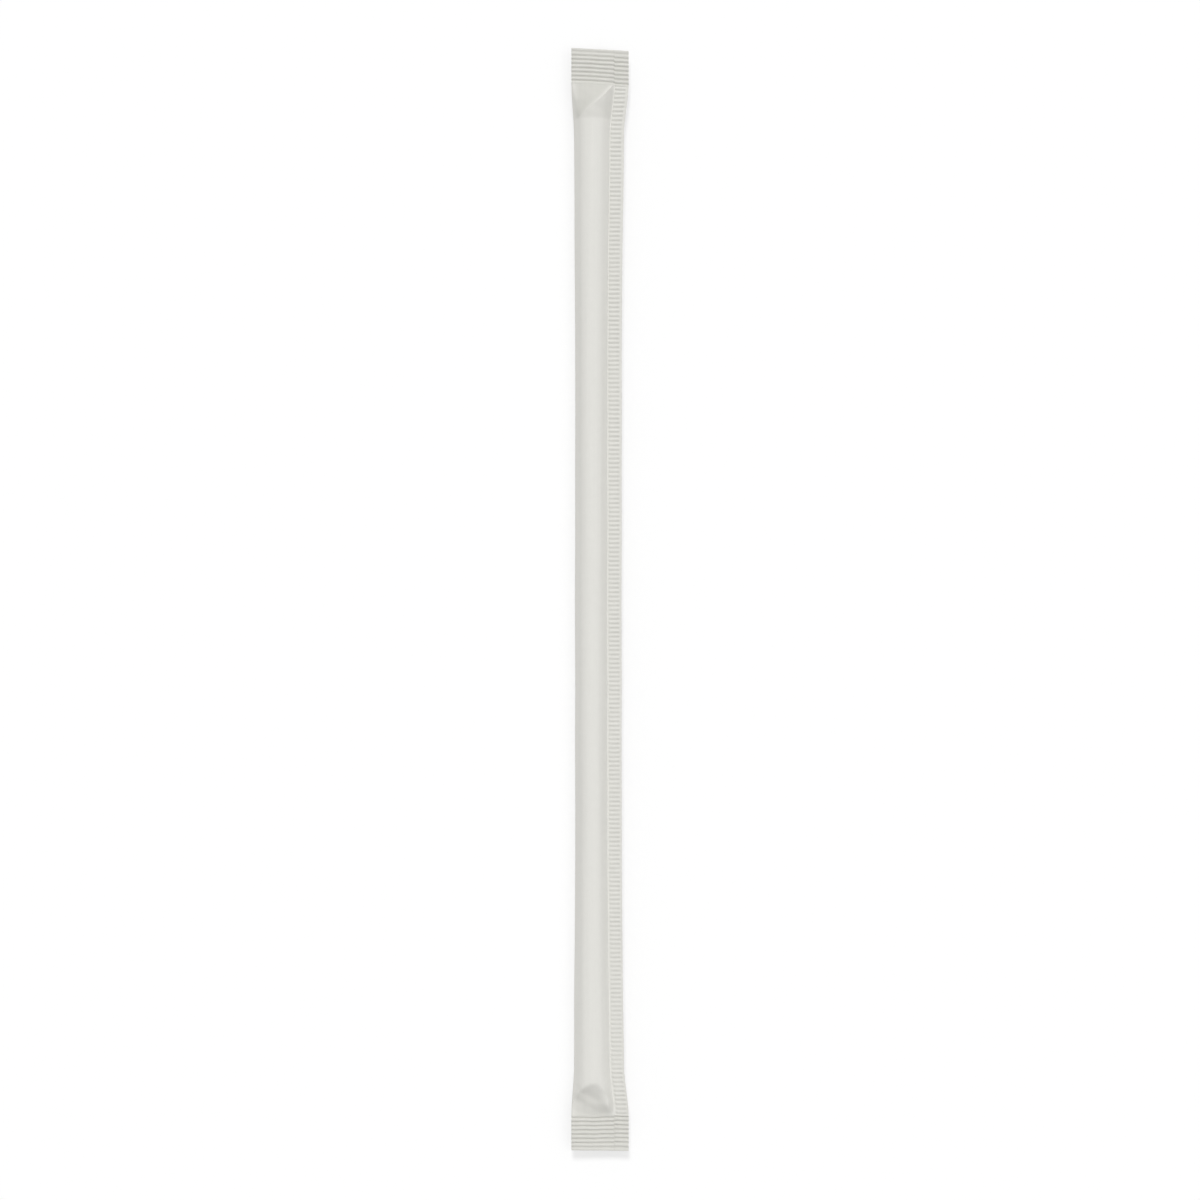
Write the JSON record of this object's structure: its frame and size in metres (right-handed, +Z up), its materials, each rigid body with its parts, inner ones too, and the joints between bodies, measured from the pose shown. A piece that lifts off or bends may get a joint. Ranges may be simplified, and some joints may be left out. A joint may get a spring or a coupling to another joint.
{
  "type": "paper-wrapped drinking straw",
  "caption": "Bendy plastic drinking straw sealed in its own white paper sleeve, with ribbed end seals and a dash-embossed edge seam.",
  "frame": {"origin": "middle of the sleeve's length and width, on the surface that it lies on", "axes": "+X along the straw towards its mouth end, which has the bellows; +Y from the sleeve's edge seam towards its folded edge; +Z up from the surface it lies on"},
  "size_m": [0.23, 0.012, 0.0054],
  "materials": {
    "sleeve_paper": "thin uncoated white paper, matte",
    "straw_plastic": "thin white polypropylene, softly glossy"
  },
  "bodies": {
    "root": {"paper_sleeve": "sleeve_paper", "straw": "straw_plastic"}
  },
  "joints": []
}
